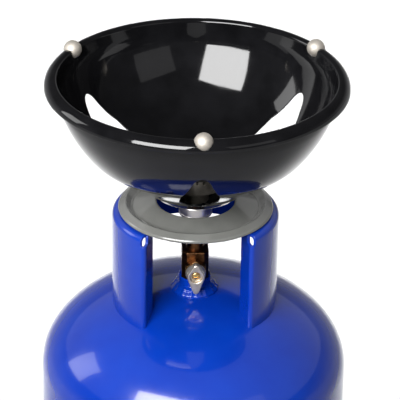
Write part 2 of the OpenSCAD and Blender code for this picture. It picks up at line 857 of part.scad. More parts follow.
module burner_stem() {
    color("saddlebrown")
    difference() {
        upright(stem_r, stem_z, stem_top_z);
        upright(jet_r + run_fit, stem_z - 1, stem_z + stem_base);
        upright(stem_mix_r, stem_z + stem_base, stem_top_z);
        upright(tube_r + joint_gap, tube_z, stem_top_z + 1);
        for (k = [0:air_holes - 1])
            rotate([0, 0, 45 + 360 / air_holes * k])
                translate([0, 0, air_hole_z])
                    rotate([90, 0, 0])
                        cylinder(r = air_hole_r, h = stem_r + 1);
    }
}

module mixing_tube() {
    color("gray")
    difference() {
        upright(tube_r, tube_z, burner_z + hub_h);
        upright(tube_r - tube_t, tube_z - 1, burner_z + hub_h + 1);
    }
}

module lock_nut() {
    bevel = 0.8;
    color("gainsboro")
    difference() {
        union() {
            upright(nut_r, nut_top_z - nut_h + bevel, nut_top_z - bevel);
            translate([0, 0, nut_top_z - bevel]) cylinder(r1 = nut_r, r2 = nut_r - bevel, h = bevel);
            translate([0, 0, nut_top_z - nut_h]) cylinder(r1 = nut_r - bevel, r2 = nut_r, h = bevel);
        }
        upright(tube_r + joint_gap, nut_top_z - nut_h - 1, nut_top_z + 1);
    }
}

module washer(z, t) {
    difference() {
        upright(washer_r, z, z + t);
        upright(tube_r + joint_gap, z - 1, z + t + 1);
    }
}

module lower_washer() {
    color("dimgray") washer(nut_top_z, washer_low_t);
}

module upper_washer() {
    color("gray") washer(washer_top_z, washer_top_t);
}

// ---------------------------------------------------------------- bowl and burner

module bowl() {
    vent_corners = [
        [-vent_half, vent_low], [vent_half, vent_low],
        [vent_half, vent_turn], [0, vent_point], [-vent_half, vent_turn]
    ];
    vent_radii = [vent_corner, vent_corner, vent_side_r, vent_corner, vent_side_r];
    color("dimgray")
    difference() {
        rotate_extrude()
            polygon(sheet_outline(walk(bowl_start, concat(bowl_route, rim_route)), bowl_t));
        for (k = [0:2])
            rotate([0, 0, 120 * k]) {
                translate([0, 0, bowl_z])
                    linear_extrude(ball_z - bowl_z)
                        mirror([0, 1, 0])
                            polygon(rounded_outline(vent_corners, vent_radii));
                translate([0, -ball_place_r, ball_z]) sphere(r = ball_r + joint_gap);
            }
    }
}

module burner_body() {
    top_z = burner_z + burner_h;
    cup_z = burner_z + hub_h;
    color("gray")
    difference() {
        rotate_extrude()
            polygon([
                [tube_r + joint_gap, burner_z],
                [hub_r, burner_z],
                [hub_r, cup_z - burner_t],
                [burner_r, cup_z + burner_t],
                [burner_r, top_z],
                [burner_r - burner_t, top_z],
                [burner_r - burner_t, cup_z + 2 * burner_t],
                [tube_r + joint_gap, cup_z]
            ]);
        for (k = [0:flame_slots - 1])
            rotate([0, 0, 360 / flame_slots * k])
                translate([burner_r - burner_t - 1, -flame_w / 2, top_z - flame_h])
                    cube([burner_t + 2, flame_w, flame_h + 1]);
    }
}

module burner_cap() {
    low_z = burner_z + burner_h;
    spigot_r = burner_r - burner_t - run_fit;
    color("dimgray")
    rotate_extrude()
        polygon([
            [0, low_z],
            [spigot_r - 2, low_z],
            [spigot_r - 2, low_z - cap_spigot],
            [spigot_r, low_z - cap_spigot],
            [spigot_r, low_z],
            [cap_r, low_z],
            [cap_r, low_z + cap_t - 0.6],
            [cap_r - 0.6, low_z + cap_t],
            [cap_r * 0.6, low_z + cap_t + cap_crown * 0.7],
            [0, low_z + cap_t + cap_crown]
        ]);
}

// ---------------------------------------------------------------- pan balls

module pan_ball(turn) {
    color("lightgray")
        rotate([0, 0, turn])
            translate([0, -ball_place_r, ball_z])
                sphere(r = ball_r);
}

module pan_ball_front() {
    pan_ball(0);
}

module pan_ball_right() {
    pan_ball(120);
}

module pan_ball_left() {
    pan_ball(240);
}

foot_ring();
lower_shell();
girth_weld();
upper_shell();
neck_boss();
collar();
guard_ring();
valve_body();
outlet_seal();
gland_nut();
gland_packing();
spindle();
knob();
knob_screw();
seat_plug();
seat_pad();
jet();
burner_stem();
mixing_tube();
lock_nut();
lower_washer();
upper_washer();
bowl();
burner_body();
burner_cap();
pan_ball_front();
pan_ball_left();
pan_ball_right();
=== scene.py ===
"""A gas cooker screwed onto its gas cylinder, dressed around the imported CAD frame.

Lengths are written in millimetres and turned into metres where a mesh is made.
"""

from bisect import bisect_right
from math import (acos, asin, atan2, ceil, copysign, cos, degrees, hypot, pi, radians,
                  sin, sqrt, tan)

import bmesh
import bpy
from mathutils import Matrix, Vector
from mathutils.geometry import delaunay_2d_cdt


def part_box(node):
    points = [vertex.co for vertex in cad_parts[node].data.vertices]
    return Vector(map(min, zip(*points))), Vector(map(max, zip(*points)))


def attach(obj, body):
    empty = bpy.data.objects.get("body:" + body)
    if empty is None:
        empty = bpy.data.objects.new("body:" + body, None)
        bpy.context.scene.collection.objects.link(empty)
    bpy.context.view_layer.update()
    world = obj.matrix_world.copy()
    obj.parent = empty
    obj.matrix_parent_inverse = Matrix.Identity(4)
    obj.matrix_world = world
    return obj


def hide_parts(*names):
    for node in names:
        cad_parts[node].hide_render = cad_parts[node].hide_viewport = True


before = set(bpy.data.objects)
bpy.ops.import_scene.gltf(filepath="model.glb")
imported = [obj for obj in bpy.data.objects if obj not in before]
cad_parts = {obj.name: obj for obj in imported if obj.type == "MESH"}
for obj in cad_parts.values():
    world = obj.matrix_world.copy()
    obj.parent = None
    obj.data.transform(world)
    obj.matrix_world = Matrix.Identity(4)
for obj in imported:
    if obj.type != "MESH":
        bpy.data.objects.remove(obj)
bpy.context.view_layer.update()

MM = 0.001


def span(node):
    """A node's lowest and highest corner, in millimetres."""
    low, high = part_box(node)
    return low / MM, high / MM


# ---------------- sizes, as in the CAD

CYL_R = span("upper_shell")[1].x
DOME_H = 69.5
LOW_EQUATOR, TOP_EQUATOR = 78.0, 236.0  # where the straight wall meets the domes
CROWN = TOP_EQUATOR + DOME_H
SEAM = span("upper_shell")[0].z
BOSS_TOP = span("neck_boss")[1].z
BOSS_LOW = BOSS_TOP - 18.7
VALVE_TOP = span("valve_body")[1].z
SPINDLE = BOSS_TOP + 10.2  # height of the tap's axis
COLLAR_TOP = span("collar")[1].z
BOWL_Z = span("bowl")[0].z
BURNER_Z = span("burner_body")[0].z
NUT_LOW, NUT_TOP = (corner.z for corner in span("lock_nut"))
BORE = 6.45  # radius of the hole that the cooker's parts have round the mixing tube
SHEET = 2.5  # the cylinder's and the collar's steel
BOWL_T = 1.0


# ---------------- meshes

def add(name, data):
    """A new scene object that holds the data."""
    obj = bpy.data.objects.new(name, data)
    bpy.context.scene.collection.objects.link(obj)
    return obj


def place(name, mesh, body, slot, nodes, smooth=35.0, weighted=True, look=None):
    """Makes the object of a finished mesh, which rides on a body and stands for CAD nodes.
    Edges are sharp from smooth degrees on, and 0 leaves the mesh's own normals.
    look is the finish where it isn't the one with the slot's name."""
    mesh.name = name
    piece = add(name, mesh)
    mesh.materials.append(LOOKS[look or slot])
    mesh.shade_smooth()
    if smooth:
        mesh.set_sharp_from_angle(angle=radians(smooth))
    if weighted:
        normals = piece.modifiers.new("even_normals", "WEIGHTED_NORMAL")
        normals.keep_sharp = True
    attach(piece, body)
    if nodes:
        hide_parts(*nodes)
    return piece


def to_mesh(bm):
    """Ends a bmesh as a mesh whose faces look outwards."""
    bmesh.ops.recalc_face_normals(bm, faces=bm.faces)
    mesh = bpy.data.meshes.new("mesh")
    bm.to_mesh(mesh)
    bm.free()
    return mesh


def bridge(bm, low, high):
    """Faces between two closed rings of points, either of which may be a single point."""
    count = max(len(low), len(high))
    if count == 1:
        return
    for i in range(count):
        j = (i + 1) % count
        ring = [low[i % len(low)], low[j % len(low)], high[j % len(high)], high[i % len(high)]]
        bm.faces.new([v for k, v in enumerate(ring) if v not in ring[:k]])


def stack(bm, rings, closed=False):
    """Bridges neighbouring rings, and the last and the first where it is closed."""
    for low, high in zip(rings, rings[1:] + (rings[:1] if closed else [])):
        bridge(bm, low, high)


def cap_ends(bm, rings):
    bm.faces.new(rings[0])
    bm.faces.new(rings[-1][::-1])


def polar(r, a, z):
    """The point at a radius, an angle and a height."""
    return r * MM * cos(a), r * MM * sin(a), z * MM


def circle(bm, angles, radius, z):
    """A ring of points round Z. radius is a number, or gives one for each point's number."""
    return [bm.verts.new(polar(radius(k) if callable(radius) else radius, a, z))
            for k, a in enumerate(angles)]


def lathe(outline, segments, wobble=None):
    """A mesh turned round Z from a closed outline of (radius, height).
    wobble(angle, k) gives what is added to the radius and the height of outline point k."""
    bm = bmesh.new()
    rings = []
    for k, (r, z) in enumerate(outline):
        if r < 1e-6:
            rings.append([bm.verts.new((0, 0, z * MM))])
            continue
        ring = []
        for i in range(segments):
            a = 2 * pi * i / segments
            dr, dz = wobble(a, k) if wobble else (0.0, 0.0)
            ring.append(bm.verts.new(polar(r + dr, a, z + dz)))
        rings.append(ring)
    stack(bm, rings, closed=True)
    return to_mesh(bm)


def turned(node, outline, segments, body, slot, smooth=35.0, wobble=None, name=None):
    """Places a piece that is turned round Z and stands for a node."""
    place(name or node + "_skin", lathe(outline, segments, wobble), body, slot, [node], smooth)


def soften(corners, radii, step=18.0):
    """The outline with its corners rounded by arcs. radii is one radius, or one for each corner."""
    count = len(corners)
    radii = radii if hasattr(radii, "__len__") else [radii] * count
    points = []
    for i in range(count):
        c = Vector(corners[i])
        u, v = Vector(corners[i - 1]) - c, Vector(corners[(i + 1) % count]) - c
        half = u.angle(v) / 2
        r = radii[i]
        if r <= 0 or half > radians(89):
            points.append(tuple(c))
            continue
        reach = min(r / tan(half), 0.48 * min(u.length, v.length))
        r = reach * tan(half)
        u.normalize()
        v.normalize()
        middle = c + (u + v).normalized() * r / sin(half)
        first, last = c + u * reach - middle, c + v * reach - middle
        steps = max(2, ceil(degrees(pi - 2 * half) / step))
        for k in range(steps + 1):
            turn = first.angle_signed(last) * k / steps
            arm = Matrix.Rotation(-turn, 2) @ first
            points.append(tuple(middle + arm))
    return points


def stepped(points, stride):
    """The points of a line with more between them, about a stride apart, but without its last."""
    dense = []
    for p, q in zip(points, points[1:]):
        steps = max(1, round(hypot(q[0] - p[0], q[1] - p[1]) / stride))
        dense += [(p[0] + (q[0] - p[0]) * k / steps, p[1] + (q[1] - p[1]) * k / steps)
                  for k in range(steps)]
    return dense


def walk(start, route, bend_step=8.0, stride=4.0):
    """States (x, y, heading in degrees) along a bent sheet, as the CAD walks it."""
    states = [start]
    for kind, *sizes in route:
        x, y, heading = states[-1]
        h0 = radians(heading)
        if kind == "go":
            steps = max(1, ceil(sizes[0] / stride))
            for k in range(1, steps + 1):
                d = sizes[0] * k / steps
                states.append((x + d * cos(h0), y + d * sin(h0), heading))
            continue
        r, last = sizes
        side = 1 if last > heading else -1
        arc = radians(abs(last - heading)) * r
        steps = max(1, ceil(abs(last - heading) / bend_step), ceil(arc / stride))
        for k in range(1, steps + 1):
            h = heading + (last - heading) * k / steps
            states.append((x - side * r * (sin(h0) - sin(radians(h))),
                           y + side * r * (cos(h0) - cos(radians(h))), h))
    return states


def left_of(state):
    """Unit vector to the left of a walk's heading."""
    h = radians(state[2])
    return Vector((-sin(h), cos(h)))


def sheet_outline(states, t, edge_steps=4):
    """The closed outline of a walked sheet, t thick to the left, with half round ends."""
    near = [Vector(s[:2]) for s in states]
    far = [Vector(s[:2]) + t * left_of(s) for s in states]

    def cap(state, sign):
        middle = Vector(state[:2]) + left_of(state) * t / 2
        ahead = Vector((cos(radians(state[2])), sin(radians(state[2]))))
        return [middle - sign * left_of(state) * t / 2 * cos(pi * k / edge_steps)
                + sign * ahead * t / 2 * sin(pi * k / edge_steps) * 0.8
                for k in range(1, edge_steps)]

    return [tuple(p) for p in near + cap(states[-1], 1) + far[::-1] + cap(states[0], -1)]


def dome(r, rise, last):
    """A dome's section as (radius, height above its equator), up to the angle last."""
    steps = 60
    return [(r * cos(last * k / steps), rise * sin(last * k / steps))
            for k in range(steps + 1)]


def dome_z(r):
    """Height of the upper dome's outer face at radius r."""
    return TOP_EQUATOR + DOME_H * sqrt(max(0.0, 1 - (r / CYL_R) ** 2))


def on_tap_axis(bm):
    """Ends a bmesh made round Z as a mesh whose +Z points along the tap's axis, to the front."""
    mesh = to_mesh(bm)
    mesh.transform(Matrix.Translation((0, 0, SPINDLE * MM)) @ Matrix.Rotation(pi / 2, 4, "X"))
    return mesh


def inside(point, loop):
    """Whether a flat point lies within a closed loop."""
    x, y = point
    crossed = sum((y0 > y) != (y1 > y) and x < (x1 - x0) * (y - y0) / (y1 - y0) + x0
                  for (x0, y0), (x1, y1) in zip(loop, loop[1:] + loop[:1]))
    return crossed % 2 == 1


def near(point, loop, gap_x, gap_y):
    """Whether a flat point lies closer than the gaps to a point of the loop."""
    return any(abs(point[0] - x) < gap_x and abs(point[1] - y) < gap_y for x, y in loop)


def triangulate(points, edges, mode):
    """Delaunay triangles between flat points: the points made, the triangles by their numbers,
    and the number that each given point has there. Mode 1 keeps what lies within the edges."""
    made, _, triangles, origins, _, _ = delaunay_2d_cdt(
        [Vector(p) for p in points], edges, [], mode, 1e-6)
    number_of = {given: new for new, all_given in enumerate(origins) for given in all_given}
    return [tuple(p) for p in made], triangles, number_of


class Sheet:
    """A double-sided sheet with rounded edges, whose points have their own normals."""

    def __init__(self):
        self.points, self.normals, self.faces, self.known = [], [], [], {}

    def point(self, key, where, normal):
        if key not in self.known:
            self.known[key] = len(self.points)
            self.points.append(where * MM)
            self.normals.append(normal.normalized())
        return self.known[key]

    def skins(self, triangles, key_of, spot_of, half):
        """Lays triangles on both faces. key_of and spot_of give a corner's name and place."""
        front, back = {}, {}
        for i in sorted({i for tri in triangles for i in tri}):
            where, up = spot_of(i)[:2]
            front[i] = self.point((key_of(i), "front"), where + up * half, up)
            back[i] = self.point((key_of(i), "back"), where - up * half, -up)
        for a, b, c in triangles:
            self.faces.append((front[a], front[b], front[c]))
            self.faces.append((back[c], back[b], back[a]))

    def edge(self, places, profile, closed=True):
        """A strip along an edge. places are (key, point, normal, outward), and the profile is
        (across, beyond, tilt in degrees) from the front face to the back face."""
        strips = []
        for key, where, up, out in places:
            strip = []
            for k, (across, beyond, tilt) in enumerate(profile):
                name = "front" if k == 0 else "back" if k == len(profile) - 1 else k
                t = radians(tilt)
                strip.append(self.point((key, name), where + up * across + out * beyond,
                                        up * cos(t) + out * sin(t)))
            strips.append(strip)
        for p, q in zip(strips, strips[1:] + (strips[:1] if closed else [])):
            for k in range(len(profile) - 1):
                self.faces.append((p[k], q[k], q[k + 1], p[k + 1]))

    def place(self, name, body, slot, node):
        raw = bpy.data.meshes.new("raw")
        raw.from_pydata(self.points, [], self.faces)
        bm = bmesh.new()
        bm.from_mesh(raw)
        bpy.data.meshes.remove(raw)
        mesh = to_mesh(bm)
        mesh.shade_smooth()
        mesh.normals_split_custom_set_from_vertices(self.normals)
        place(name, mesh, body, slot, [node], 0, False)


# ---------------- materials

def shader_node(tree, kind, **numbers):
    """A shader node with numbers on its inputs, whose names have _ for a space here."""
    node = tree.nodes.new("ShaderNode" + kind)
    for key, number in numbers.items():
        node.inputs[key.replace("_", " ")].default_value = number
    return node


def noise(tree, scale, detail, stretch=(1, 1, 1)):
    """A noise value from 0 to 1 in the piece's own space, scale cells to the metre."""
    coordinates = shader_node(tree, "TexCoord")
    mapping = shader_node(tree, "Mapping", Scale=stretch)
    texture = shader_node(tree, "TexNoise", Scale=scale, Detail=detail, Roughness=0.55)
    tree.links.new(coordinates.outputs["Object"], mapping.inputs["Vector"])
    tree.links.new(mapping.outputs["Vector"], texture.inputs["Vector"])
    return texture.outputs["Fac"]


def remap(tree, value, low, high, from_low=0.3, from_high=0.7):
    """Turns a value between from_low and from_high into one between low and high."""
    node = shader_node(tree, "MapRange", From_Min=from_low, From_Max=from_high,
                       To_Min=low, To_Max=high)
    tree.links.new(value, node.inputs["Value"])
    return node.outputs["Result"]


def mix_colour(tree, factor, first, second):
    """Mixes two colours, each of them given or from a socket."""
    node = shader_node(tree, "Mix")
    node.data_type = "RGBA"
    tree.links.new(factor, node.inputs[0])
    for socket, colour in ((node.inputs[6], first), (node.inputs[7], second)):
        if isinstance(colour, tuple):
            socket.default_value = (*colour, 1)
        else:
            tree.links.new(colour, socket)
    return node.outputs[2]


def finish_material(name, colours, mottle, rough, rough_scale, bumps, fixed,
                    grain=(1, 1, 1), specks=None):
    """A procedural surface: two mottled colours, a varying roughness and layered bumps.
    mottle and rough_scale are cells per metre, and grain stretches them.
    bumps are (cells per metre, height in mm, detail, stretch); fixed are the shader's even numbers.
    specks are (cells per metre, share, colour) for pits, dirt or bright spots."""
    speck_edge = 0.08
    material = bpy.data.materials.new(name)
    material.use_nodes = True
    tree = material.node_tree
    shader = tree.nodes["Principled BSDF"]
    for key, value in fixed.items():
        shader.inputs[key].default_value = value
    colour = mix_colour(tree, remap(tree, noise(tree, mottle, 4.0, grain), 0.0, 1.0), *colours)
    if specks:
        scale, share, speck = specks
        spots = remap(tree, noise(tree, scale, 5.0), 0.0, 1.0, 1 - share, 1 - share + speck_edge)
        colour = mix_colour(tree, spots, colour, speck)
    tree.links.new(colour, shader.inputs["Base Color"])
    roughness = remap(tree, noise(tree, rough_scale, 4.0, grain), *rough)
    tree.links.new(roughness, shader.inputs["Roughness"])
    normal = None
    for scale, height, detail, stretch in bumps:
        bump = shader_node(tree, "Bump", Strength=1.0, Distance=height * MM)
        tree.links.new(noise(tree, scale, detail, stretch), bump.inputs["Height"])
        if normal:
            tree.links.new(normal, bump.inputs["Normal"])
        normal = bump.outputs["Normal"]
    if normal:
        tree.links.new(normal, shader.inputs["Normal"])
    return material


EVEN = (1, 1, 1)
LOOKS = {}


def add_look(name, *parts, **more):
    LOOKS[name] = finish_material(name, *parts, **more)


add_look("blue_paint", ((0.0004, 0.022, 0.26), (0.0009, 0.029, 0.30)), 26, (0.16, 0.24), 40,
         [(420, 0.010, 2.0, EVEN), (60, 0.05, 2.0, EVEN)],
         {"Coat Weight": 0.5, "Coat Roughness": 0.04, "Specular IOR Level": 0.3})
add_look("black_enamel", ((0.0035, 0.0035, 0.004), (0.007, 0.007, 0.008)), 45, (0.05, 0.09), 70,
         [(700, 0.0035, 2.0, EVEN), (75, 0.030, 1.5, EVEN)],
         {"Specular IOR Level": 0.34, "Coat Weight": 0.2, "Coat Roughness": 0.03})
add_look("grey_plastic", ((0.108, 0.110, 0.103), (0.135, 0.136, 0.128)), 30, (0.16, 0.24), 60,
         [(1400, 0.006, 2.0, EVEN), (90, 0.05, 2.0, EVEN)],
         {"Coat Weight": 0.7, "Coat Roughness": 0.10})
add_look("bright_chrome", ((0.80, 0.76, 0.74), (0.88, 0.84, 0.82)), 60, (0.32, 0.42), 120,
         [(250, 0.004, 2.0, (1, 1, 6))], {"Metallic": 1.0}, grain=(1, 1, 5))
add_look("nickel", ((0.50, 0.465, 0.415), (0.60, 0.56, 0.505)), 160, (0.60, 0.72), 300,
         [(900, 0.004, 3.0, EVEN)], {"Metallic": 1.0}, specks=(1500, 0.28, (0.55, 0.50, 0.43)))
add_look("dark_brass", ((0.095, 0.040, 0.017), (0.17, 0.082, 0.036)), 220, (0.26, 0.42), 350,
         [(1300, 0.012, 3.0, EVEN), (300, 0.03, 2.0, EVEN)],
         {"Metallic": 1.0}, specks=(380, 0.36, (0.42, 0.24, 0.09)))
add_look("brass", ((0.66, 0.43, 0.16), (0.80, 0.56, 0.26)), 260, (0.18, 0.30), 400,
         [(900, 0.008, 2.0, (1, 9, 1))], {"Metallic": 1.0})
add_look("aged_brass", ((0.085, 0.043, 0.018), (0.19, 0.110, 0.046)), 260, (0.22, 0.36), 400,
         [(900, 0.010, 2.0, (1, 9, 1))], {"Metallic": 1.0}, specks=(600, 0.30, (0.09, 0.045, 0.02)))
add_look("cast_alloy", ((0.48, 0.44, 0.38), (0.66, 0.61, 0.54)), 240, (0.30, 0.42), 500,
         [(1700, 0.02, 4.0, EVEN), (350, 0.05, 2.0, EVEN)],
         {"Metallic": 0.9}, specks=(900, 0.33, (0.30, 0.28, 0.25)))
add_look("plated_steel", ((0.42, 0.42, 0.41), (0.56, 0.56, 0.55)), 200, (0.22, 0.36), 300,
         [(1000, 0.006, 3.0, (1, 1, 4))], {"Metallic": 1.0})
add_look("burner_iron", ((0.028, 0.026, 0.025), (0.055, 0.052, 0.05)), 300, (0.50, 0.68), 500,
         [(1500, 0.05, 4.0, EVEN), (500, 0.08, 2.0, EVEN)], {"Metallic": 0.4})
add_look("seal_rubber", ((0.012, 0.012, 0.012), (0.022, 0.022, 0.022)), 200, (0.55, 0.7), 300,
         [(1600, 0.01, 3.0, EVEN)], {})


# ---------------- cylinder

def shells():
    """The upper and lower shell and the girth weld, each turned from its rounded section."""
    segments, wall_steps = 256, 8
    neck_hole = 13.35
    inner_r, inner_h = CYL_R - SHEET, DOME_H - SHEET
    outer = dome(CYL_R, DOME_H, acos(neck_hole / CYL_R))
    inner = dome(inner_r, inner_h, acos(neck_hole / inner_r))
    wall = [TOP_EQUATOR - (TOP_EQUATOR - SEAM) * k / wall_steps for k in range(wall_steps, 0, -1)]
    outline = [(CYL_R, z) for z in wall] + [(r, TOP_EQUATOR + z) for r, z in outer]
    outline += [(r, TOP_EQUATOR + z) for r, z in reversed(inner)] + [(inner_r, SEAM)]
    turned("upper_shell", outline, segments, "cylinder", "blue_paint")

    # the lower shell's upper edge is drawn in, and reaches behind the upper shell
    groove, lap = 4.0, 11.0
    lap_r = inner_r - 0.05
    low_edge = (inner_r, SEAM - groove - 1)
    outline = [(r, LOW_EQUATOR - z) for r, z in reversed(dome(CYL_R, DOME_H, pi / 2))]
    outline += [(CYL_R, SEAM - groove)]
    outline += soften([(CYL_R, SEAM - groove), (lap_r, SEAM), (lap_r, SEAM + lap),
                       (lap_r - SHEET, SEAM + lap), (lap_r - SHEET, SEAM - 1), low_edge],
                      [0, 0.6, 0.6, 0.6, 0.6, 0])[1:-1]
    outline += [low_edge]
    outline += [(r, LOW_EQUATOR - z) for r, z in dome(inner_r, inner_h, pi / 2)]
    turned("lower_shell", outline, segments, "cylinder", "blue_paint")

    proud = 1.2
    crown, foot = CYL_R + proud, CYL_R + 0.05
    section = soften([(foot, SEAM - groove - 2.5), (crown - 0.3, SEAM - groove - 1),
                      (crown, SEAM - groove / 2), (crown - 0.3, SEAM + 1), (foot, SEAM + 2.5),
                      (foot, SEAM - 0.05), (inner_r + 0.05, SEAM - 0.05), (foot, SEAM - groove)],
                     [0.2, 1.2, 1.5, 1.2, 0.2, 0, 0, 0])

    def ripple(a, k):
        share = max(0.0, (section[k][0] - foot) / proud)
        scale = 0.11 * sin(150 * a) + 0.07 * sin(61 * a + 1.0)
        return -share * abs(scale), share * 0.12 * sin(37 * a)

    turned("girth_weld", section, 900, "cylinder", "blue_paint", 50, ripple, "girth_weld_bead")


def foot_ring():
    """A steel band under the lower dome, curled in where it stands."""
    curl, flat, r, overlap = 5.0, 5.0, 100.0, 1.2
    top = LOW_EQUATOR - sqrt(1 - (r / CYL_R) ** 2) * DOME_H + overlap
    route = [("go", flat), ("bend", curl, 90), ("go", top - curl)]
    outline = sheet_outline(walk((r - curl - flat, 0.0, 0.0), route), SHEET)
    turned("foot_ring", outline, 220, "cylinder", "blue_paint")


def neck_boss():
    """The neck with its weld, which has the bead's ripples."""
    bore, r = 9.85, 13.3
    section = soften([(bore - 1.1, BOSS_LOW), (r, BOSS_LOW), (r, CROWN - 3.5), (19.4, CROWN - 3.5),
                      (19.2, CROWN + 0.6), (16.6, CROWN + 3.2), (16.2, CROWN + 4.6),
                      (r, CROWN + 5.9), (r, BOSS_TOP), (bore, BOSS_TOP)],
                     [0.5, 0.5, 0.0, 0.5, 1.6, 1.0, 1.0, 1.0, 1.2, 0.6])

    def ripple(a, k):
        weld_r, z = section[k]
        if not (CROWN - 1 < z < CROWN + 5.5 and weld_r > r + 0.3):
            return 0.0, 0.0
        wave = sin(17 * a + 0.6) + 0.6 * sin(29 * a + 2.0) + 0.5 * sin(5 * a)
        return 0.16 * wave, 0.10 * wave

    turned("neck_boss", section, 200, "cylinder", "blue_paint", 50, ripple)


# ---------------- collar

def collar():
    """One steel sheet bent round from the left front fold, behind the valve, to the right one.
    It is meshed on its unrolled middle face: u runs round the collar from the back's middle,
    v runs up the wall, over the shoulder and along the top flange."""
    r, half_t, edge = 67.0, SHEET / 2, 0.5
    shoulder, flange = 5.0, 53.0
    front, turn = radians(48.0), radians(114.0)
    fold_r, flat = 2.8, 17.4
    mid, fold_mid, bend_mid = r - half_t, fold_r - half_t, shoulder - half_t
    arc_end = mid * (pi / 2 + front)
    fold_end = arc_end + fold_mid * turn
    sheet_end = fold_end + flat
    shoulder_z = COLLAR_TOP - shoulder
    bend_len = bend_mid * pi / 2
    bend_end = shoulder_z + bend_len
    top_v = bend_end + r - shoulder - flange
    centre = (r - fold_r) * Vector((cos(front), -sin(front), 0))

    def spot(u, v):
        """Where a point of the unrolled sheet lies, and its outer face's normal."""
        s = abs(u)
        a = pi / 2 - min(s, arc_end) / mid
        a -= min(max(s - arc_end, 0), fold_mid * turn) / fold_mid
        normal = Vector((cos(a), sin(a), 0))
        if s <= arc_end:
            where = normal * mid
        else:
            where = centre + normal * fold_mid
            where += Vector((sin(a), -cos(a), 0)) * max(s - fold_end, 0)
        where.z, up = v, normal.copy()
        rise = v - shoulder_z
        if s < arc_end and rise > 0:
            t = min(rise / bend_mid, pi / 2)
            up = normal * cos(t) + Vector((0, 0, sin(t)))
            where = normal * (r - shoulder + bend_mid * cos(t) - max(rise - bend_len, 0))
            where.z = shoulder_z + bend_mid * sin(t)
        if u < 0:
            where.x, up.x = -where.x, -up.x
        return where, up

    def base(u):
        """The lower edge, which follows the dome and is sunk into its weld."""
        sink = 0.35
        where = spot(u, 0)[0]
        return dome_z(hypot(where.x, where.y)) - sink

    # the carrying opening at the back, half of it
    window_z, window_x, corner = CROWN + 33.6 + edge, 54.5 + edge, 10.5
    window = []
    for k in range(9):
        t = radians(90 - 11.25 * k)
        x = window_x - corner + corner * cos(t)
        window.append((mid * asin(x / mid), window_z - corner + corner * sin(t)))
    side_u = window[-1][0]

    # columns and rows of points over the whole sheet
    slot_start = arc_end - radians(0.5) * mid - edge
    arc_us = [slot_start * k / 64 for k in range(65)]
    fold_us = [arc_end + (fold_end - arc_end) * k / 8 for k in range(9)]
    end_u = sheet_end - edge
    columns = arc_us + fold_us + [fold_end + (end_u - fold_end) * k / 8 for k in range(1, 9)]
    low_row = CROWN - 12
    top_row = top_v - edge
    rows = [low_row + (shoulder_z - low_row) * k / 26 for k in range(27)]
    rows += [shoulder_z + bend_len * k / 8 for k in range(1, 9)]
    rows += [bend_end + (top_row - bend_end) * k / 4 for k in range(1, 5)]

    # the sheet's whole edge: the opening, the lower edge, the fold's end, its top with the
    # relief slot beside it, and the flange's inner edge
    slot_end = fold_end + 3.9 + edge
    slot_floor = COLLAR_TOP - 8.2 - edge
    fold_top = COLLAR_TOP - 1.7 - edge
    tip_top = COLLAR_TOP - SHEET - 0.1 - edge
    route = [(u, window_z) for u in arc_us if u < window[0][0] - 0.5] + window
    route += [(side_u, v) for v in reversed(rows) if base(side_u) + 1 < v < window[-1][1] - 1]
    route += [(side_u, base(side_u))]
    route += [(u, base(u)) for u in columns if u > side_u + 0.5]
    route += [(end_u, v) for v in rows if base(end_u) + 1 < v < tip_top - 1.5]
    tops = soften([(end_u, tip_top - 1.4), (end_u, tip_top), (fold_end + 7.0, tip_top),
                   (fold_end + 6.2, fold_top), (slot_end, fold_top), (slot_end, slot_floor),
                   (slot_start, slot_floor), (slot_start, slot_floor + 1.6)],
                  [0, 1.2, 0.6, 0.6, 0.8, 1.4, 1.4, 0])
    route += stepped(tops, 1.2)
    route += [(slot_start, v) for v in rows if slot_floor + 1.8 < v < top_row - 0.5]
    route += [(u, top_row) for u in reversed(arc_us)]
    loop = route + [(-u, v) for u, v in reversed(route) if u > 0]

    points = list(loop)
    for u in columns:
        gap_u = 0.25 if arc_end - 1 < u < fold_end + 1 else 1.0
        for v in rows:
            if v > shoulder_z and u >= arc_end:
                continue
            if near((u, v), route, gap_u, 0.45) or not inside((u, v), loop):
                continue
            points += [(u, v)] if u == 0 else [(u, v), (-u, v)]
    edges = [(k, (k + 1) % len(loop)) for k in range(len(loop))]
    made, triangles, number_of = triangulate(points, edges, 1)

    sheet = Sheet()
    sheet.skins(triangles, lambda i: i, lambda i: spot(*made[i]), half_t)
    flat_n, slant = half_t - edge, edge * cos(pi / 4)
    profile = [(half_t, 0, 0), (flat_n + slant, slant, 45), (flat_n, edge, 90),
               (-flat_n, edge, 90), (-flat_n - slant, slant, 135), (-half_t, 0, 180)]
    ids = [number_of[k] for k in range(len(loop))]
    spots = [spot(*made[i]) for i in ids]
    places = []
    for n, (where, up) in enumerate(spots):
        run = spots[(n + 1) % len(spots)][0] - spots[n - 1][0]
        places.append((ids[n], where, up, up.cross(run).normalized()))
    sheet.edge(places, profile)
    sheet.place("collar_skin", "cylinder", "blue_paint", "collar")


